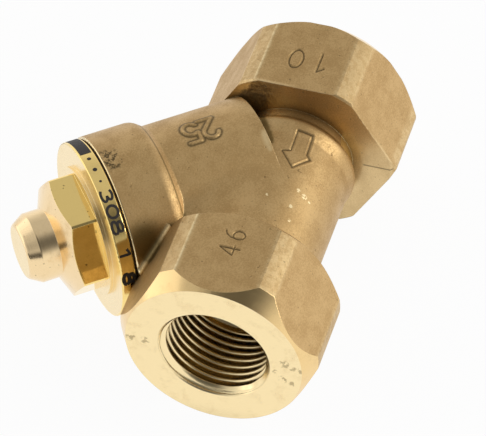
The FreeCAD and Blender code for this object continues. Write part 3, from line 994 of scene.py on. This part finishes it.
class VALVE_OT_rim_print(Operator):
    """Prints the bar, the dots and the plain numbers on the cap's rim"""

    bl_idname = "valve.rim_print"
    bl_label = "Rim print"

    def execute(self, context):
        vertices = []
        faces = []
        for stroke, width in printed_strokes():
            first = sum(map(len, vertices)) + 2 * np.arange(len(stroke) - 1)
            faces.extend(np.stack([first, first + 1, first + 3, first + 2], -1).tolist())
            vertices.append(ribbon(stroke, width))
        mesh = bpy.data.meshes.new("rim_print")
        mesh.from_pydata((np.vstack(vertices) * MM).tolist(), [], faces)
        mesh.update()
        mesh.materials.append(plain_finish("black_ink", (0.03, 0.022, 0.018), 0.0, 0.6, 2.0, 0.01))
        new_object("rim_print", mesh, "housing")
        return {"FINISHED"}


# spring and inner parts


def spring_wire(sizes):
    """The wire of the closing spring: a circle carried square along a helix about the branch's axis.

    At t turns the helix is at the angle 2 pi t and the height low + (high - low) * (t - end turns) / turns,
    held between low and high, so that the end turns lie level."""
    points_per_turn = 40
    wire = sizes.wire / MM / 2
    mean = sizes.mean / MM / 2
    total = sizes.turns + 2 * sizes.end_turns
    turn = np.linspace(0, total, int(total * points_per_turn))
    low = DISC_TOP + wire
    high = RECESS_ROOF - wire
    along = low + (high - low) * np.clip((turn - sizes.end_turns) / sizes.turns, 0, 1)
    angle = 2 * math.pi * turn
    centre = branch_points(along, mean * np.cos(angle), mean * np.sin(angle))
    outward = np.cos(angle)[:, None] * ACROSS + np.sin(angle)[:, None] * UP
    run = np.gradient(centre, axis=0)
    run /= np.linalg.norm(run, axis=1)[:, None]
    third = np.cross(run, outward)
    around = np.linspace(0, 2 * math.pi, sizes.around, endpoint=False)[None, :, None]
    return centre[:, None] + wire * (np.cos(around) * outward[:, None] + np.sin(around) * third[:, None])


class VALVE_OT_closing_spring(Operator):
    """Winds the closing spring"""

    bl_idname = "valve.closing_spring"
    bl_label = "Closing spring"

    def execute(self, context):
        sizes = context.scene.valve_spring
        mesh = closed_grid("wound_spring", spring_wire(sizes), smooth_angle=50, wrap_rows=False)
        mesh.materials.append(plain_finish("spring_wire", (0.42, 0.41, 0.4), 1.0, 0.28, 3.0, 0.01))
        spring = new_object("wound_spring", mesh, "housing")
        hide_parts("closing_spring")
        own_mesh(spring)
        return {"FINISHED"}


class VALVE_OT_inner_parts(Operator):
    """Gives the disc, seal, washer, screw and gasket their finishes"""

    bl_idname = "valve.inner_parts"
    bl_label = "Inner parts"

    def execute(self, context):
        finish = context.scene.valve_finish
        disc_brass = turned_brass("disc_brass", finish, finish.machined, CROSSING, BRANCH_ANGLE, 6.0, 0.25)
        looks = [("valve_disc", disc_brass)]
        for nodes, name, colour, metallic, roughness, scale, depth, drift in (
            (
                ["seal_retainer", "retaining_screw"],
                "stainless", (0.56, 0.55, 0.53), 1.0, 0.3, 4.0, 0.01, 0.15,
            ),
            (["seat_seal"], "black_rubber", (0.025, 0.025, 0.027), 0.0, 0.6, 5.0, 0.02, 0.3),
            (["cap_gasket"], "gasket_fibre", (0.1, 0.075, 0.05), 0.0, 0.8, 6.0, 0.03, 0.3),
        ):
            material = plain_finish(name, colour, metallic, roughness, scale, depth, drift)
            looks += [(node, material) for node in nodes]
        for node, material in looks:
            frame["nodes"][node].material_slots[0].material = material
        return {"FINISHED"}


# stage


# The camera's direction and roll in degrees, and its distance, aim, lens and sensor in millimetres
CAMERA_AZIMUTH = 108.23
CAMERA_ELEVATION = 47.105
CAMERA_ROLL = 1.866
CAMERA_DISTANCE = 630.45
CAMERA_AIM = (29.045, -3.697, 0.0)
CAMERA_LENS = 316.4
CAMERA_SENSOR = 36.0

# The world's strength overhead and at the horizon, and the shares of it that are missing round the camera and
# low down on the outlet's side, as in a room with a dark corner there
OVERHEAD_LIGHT = 0.58
HORIZON_LIGHT = 1.0
CAMERA_SHADE = 0.82
OUTLET_SHADE = 0.9
OUTLET_SIDE = (0.985, -0.174, 0.0)

# The floor lies a hair under the lower flats, and its half width is in metres
FLOOR_GAP = 0.03
FLOOR_REACH = 2.0
FLOOR_WHITENESS = 0.95


def stage_floor():
    """A pale floor that shows white to the camera and in reflections, and still takes the object's shadow."""
    mesh = bpy.data.meshes.new("floor")
    level = (-HEX_FLAT - FLOOR_GAP) * MM
    corners = [(x * FLOOR_REACH, y * FLOOR_REACH, level) for x, y in ((-1, -1), (1, -1), (1, 1), (-1, 1))]
    mesh.from_pydata(corners, [], [(0, 1, 2, 3)])
    floor = bpy.data.objects.new("floor", mesh)
    bpy.context.scene.collection.objects.link(floor)
    graph = Finish("pale_floor", Base_Color=(0.9, 0.9, 0.9, 1.0), Roughness=0.9)
    camera_ray = graph.node("ShaderNodeLightPath", output="Is Camera Ray")
    shown = graph.most(camera_ray, camera_ray.beside("Is Glossy Ray")) * FLOOR_WHITENESS
    glow = graph.node("ShaderNodeEmission", None, {"Color": (1, 1, 1, 1), "Strength": 1.0})
    blend = graph.node("ShaderNodeMixShader", None, {0: shown, 1: graph.shader, 2: glow})
    graph.join(graph.output.inputs["Surface"], blend)
    mesh.materials.append(graph.material)


def soft_world(scene, toward_camera):
    """Light from all round that changes with height, while the camera itself sees white.

    Less of it comes from round the camera, and from low down on the outlet's side."""
    world = bpy.data.worlds.new("studio")
    world.use_nodes = True
    scene.world = world
    graph = Graph(world.node_tree)
    direction = graph.node("ShaderNodeTexCoord", output="Generated")
    height = graph.node("ShaderNodeSeparateXYZ", None, {0: direction}, output="Z")
    level = HORIZON_LIGHT + graph.step(height, 0.0, 0.8) * (OVERHEAD_LIGHT - HORIZON_LIGHT)
    round_camera = graph.step(graph.facing(direction, toward_camera), 0.7, 0.93)
    on_outlet_side = graph.step(graph.facing(direction, OUTLET_SIDE), 0.88, 0.95)
    low_down = 1.0 - graph.step(height, 0.18, 0.34)
    level = level * (1.0 - round_camera * CAMERA_SHADE) * (1.0 - on_outlet_side * low_down * OUTLET_SHADE)
    seen = graph.node("ShaderNodeLightPath", output="Is Camera Ray")
    light = {"Color": (1, 1, 1, 1), "Strength": level + seen * (1.0 - level)}
    graph.node("ShaderNodeOutputWorld", None, {"Surface": graph.node("ShaderNodeBackground", None, light)})


def softbox(name, place, aim, size, power):
    """A square lamp of that size in millimetres, turned towards aim."""
    light = bpy.data.lights.new(name, "AREA")
    light.shape = "SQUARE"
    light.size = size * MM
    light.energy = power
    lamp = bpy.data.objects.new(name, light)
    bpy.context.scene.collection.objects.link(lamp)
    place = Vector(place) * MM
    lamp.location = place
    lamp.rotation_euler = (Vector(aim) * MM - place).to_track_quat("-Z", "Y").to_euler()


def view_direction(azimuth, elevation):
    """Unit vector towards a camera at that azimuth and elevation, in degrees."""
    turn = math.radians(azimuth)
    rise = math.radians(elevation)
    return Vector((math.sin(turn) * math.cos(rise), -math.cos(turn) * math.cos(rise), math.sin(rise)))


def photo_camera(scene, toward_camera):
    """The photograph's view, through a long lens from far off, with a slight roll."""
    data = bpy.data.cameras.new("photo_camera")
    data.lens = CAMERA_LENS
    data.sensor_width = CAMERA_SENSOR
    data.clip_start = 0.05
    data.clip_end = 20.0
    camera = bpy.data.objects.new("photo_camera", data)
    bpy.context.scene.collection.objects.link(camera)
    roll = Matrix.Rotation(-math.radians(CAMERA_ROLL), 4, "Z")
    turn = (-toward_camera).to_track_quat("-Z", "Y").to_matrix().to_4x4() @ roll
    place = Vector(CAMERA_AIM) * MM + toward_camera * (CAMERA_DISTANCE * MM)
    camera.matrix_world = Matrix.Translation(place) @ turn
    scene.camera = camera


class VALVE_OT_stage(Operator):
    """Sets up the camera, the soft light, the backdrop and the floor"""

    bl_idname = "valve.stage"
    bl_label = "Stage"

    def execute(self, context):
        scene = context.scene
        scene.view_settings.view_transform = "Standard"
        toward_camera = view_direction(CAMERA_AZIMUTH, CAMERA_ELEVATION)
        stage_floor()
        soft_world(scene, toward_camera)
        softbox("right_softbox", place=(-60, 420, 260), aim=(25, 5, 0), size=300, power=0.9)
        softbox("left_softbox", place=(60, -420, 80), aim=(40, 0, 0), size=500, power=0.35)
        photo_camera(scene, toward_camera)
        return {"FINISHED"}


class VALVE_PT_panel(Panel):
    """Lists the pieces of the valve and their settings"""

    bl_idname = "VALVE_PT_panel"
    bl_label = "Non-return valve"
    bl_space_type = "VIEW_3D"
    bl_region_type = "UI"
    bl_category = "Valve"

    def draw(self, context):
        scene = context.scene
        for group in (scene.valve_finish, scene.valve_threads, scene.valve_spring):
            for key in group.__annotations__:
                self.layout.prop(group, key)
        for operator in OPERATORS:
            self.layout.operator(operator.bl_idname)


GROUPS = {"valve_finish": ValveFinish, "valve_threads": ThreadSizes, "valve_spring": SpringSizes}
OPERATORS = (
    VALVE_OT_forged_body,
    VALVE_OT_port_threads,
    VALVE_OT_cap,
    VALVE_OT_rim_print,
    VALVE_OT_closing_spring,
    VALVE_OT_inner_parts,
    VALVE_OT_stage,
)


def register():
    for group in (*GROUPS.values(), *OPERATORS, VALVE_PT_panel):
        bpy.utils.register_class(group)
    for name, group in GROUPS.items():
        setattr(bpy.types.Scene, name, PointerProperty(type=group))


def unregister():
    for name in GROUPS:
        delattr(bpy.types.Scene, name)
    for group in reversed((*GROUPS.values(), *OPERATORS, VALVE_PT_panel)):
        bpy.utils.unregister_class(group)


def main():
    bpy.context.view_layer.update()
    register()
    bpy.ops.valve.stage()
    bpy.ops.valve.forged_body()
    bpy.ops.valve.port_threads()
    bpy.ops.valve.cap()
    bpy.ops.valve.rim_print()
    bpy.ops.valve.closing_spring()
    bpy.ops.valve.inner_parts()


if __name__ == "__main__":
    main()
